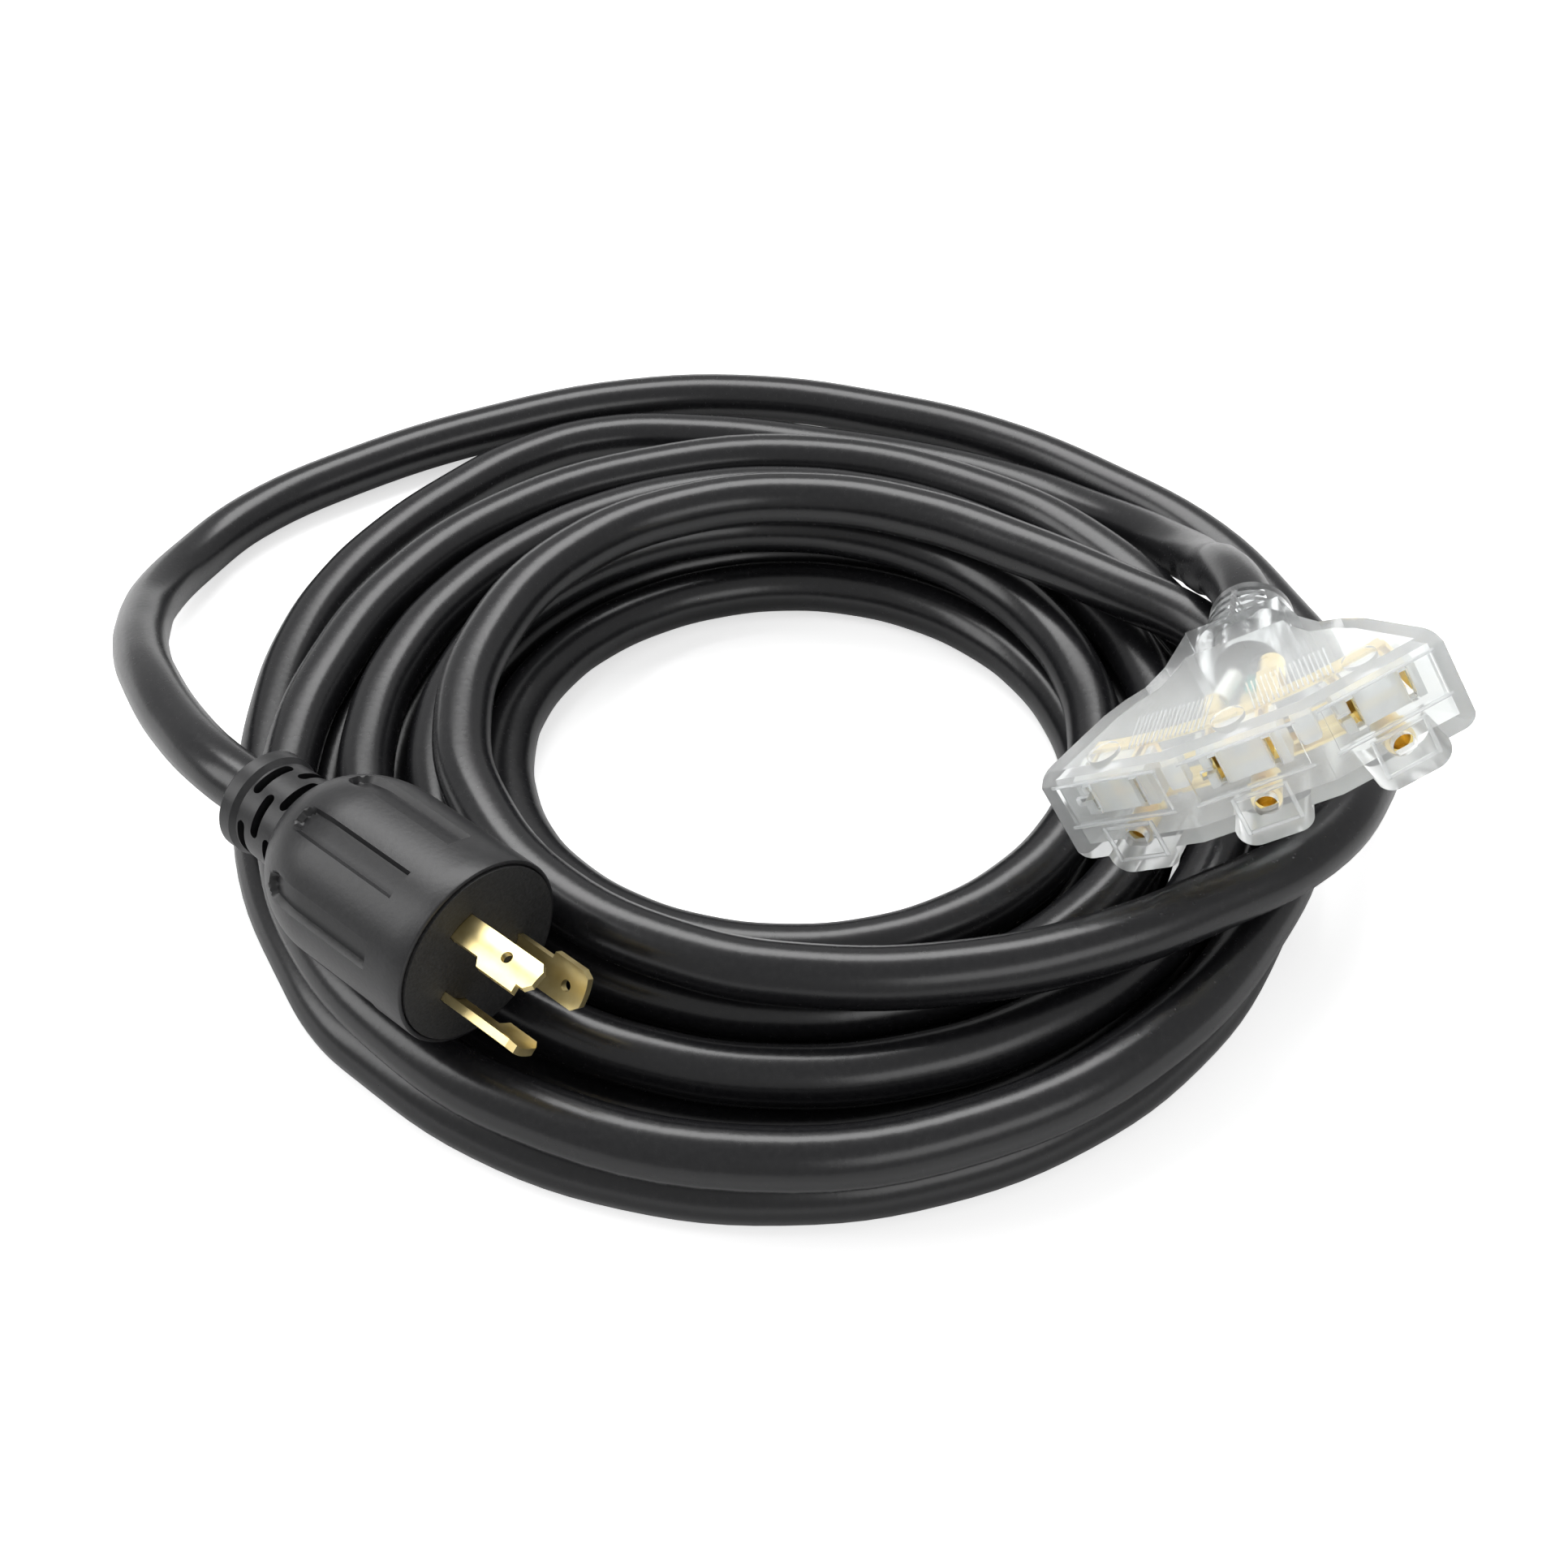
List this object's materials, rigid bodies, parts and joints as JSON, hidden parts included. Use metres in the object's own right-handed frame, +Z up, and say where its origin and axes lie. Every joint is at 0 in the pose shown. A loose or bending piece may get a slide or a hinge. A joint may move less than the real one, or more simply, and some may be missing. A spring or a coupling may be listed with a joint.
{
  "type": "power cord",
  "caption": "Round black power cord in a loose coil, from a locking plug with curved brass blades to a clear fan shaped outlet tap.",
  "frame": {"origin": "middle of the whole object's box, on the floor that the coil lies on", "axes": "+Z up; +Y from the viewer's side, where the plug and the tap face, to the back; +X to the right, from the plug towards the tap"},
  "size_m": [0.359, 0.332, 0.113],
  "materials": {
    "cord_jacket": "satin black jacket",
    "plug_rubber": "satin black moulding",
    "plug_face": "matt black, finely speckled",
    "blade_brass": "bright brass",
    "contact_brass": "plain brass",
    "clear_pvc": "clear to frosted moulding",
    "core_plastic": "milky plastic",
    "green_wire": "green insulation",
    "black_wire": "black insulation",
    "white_wire": "white insulation"
  },
  "bodies": {
    "root": {"plug_body": "plug_rubber", "plug_strain_relief": "plug_rubber", "plug_face": "plug_face", "plug_ground_blade": "blade_brass", "plug_hot_blade": "blade_brass", "plug_neutral_blade": "blade_brass", "plug_ground_crimp": "contact_brass", "plug_hot_crimp": "contact_brass", "plug_neutral_crimp": "contact_brass", "plug_green_wire": "green_wire", "plug_black_wire": "black_wire", "plug_white_wire": "white_wire", "plug_cord_end": "cord_jacket", "tap_housing": "clear_pvc", "tap_strain_relief": "clear_pvc", "left_outlet_core": "core_plastic", "middle_outlet_core": "core_plastic", "right_outlet_core": "core_plastic", "hot_contact_strip": "contact_brass", "neutral_contact_strip": "contact_brass", "ground_contact_strip": "contact_brass", "tap_green_wire": "green_wire", "tap_black_wire": "black_wire", "tap_white_wire": "white_wire", "tap_cord_end": "cord_jacket", "cord_coil": "cord_jacket", "plug_lead": "cord_jacket", "tap_lead": "cord_jacket"}
  },
  "joints": []
}
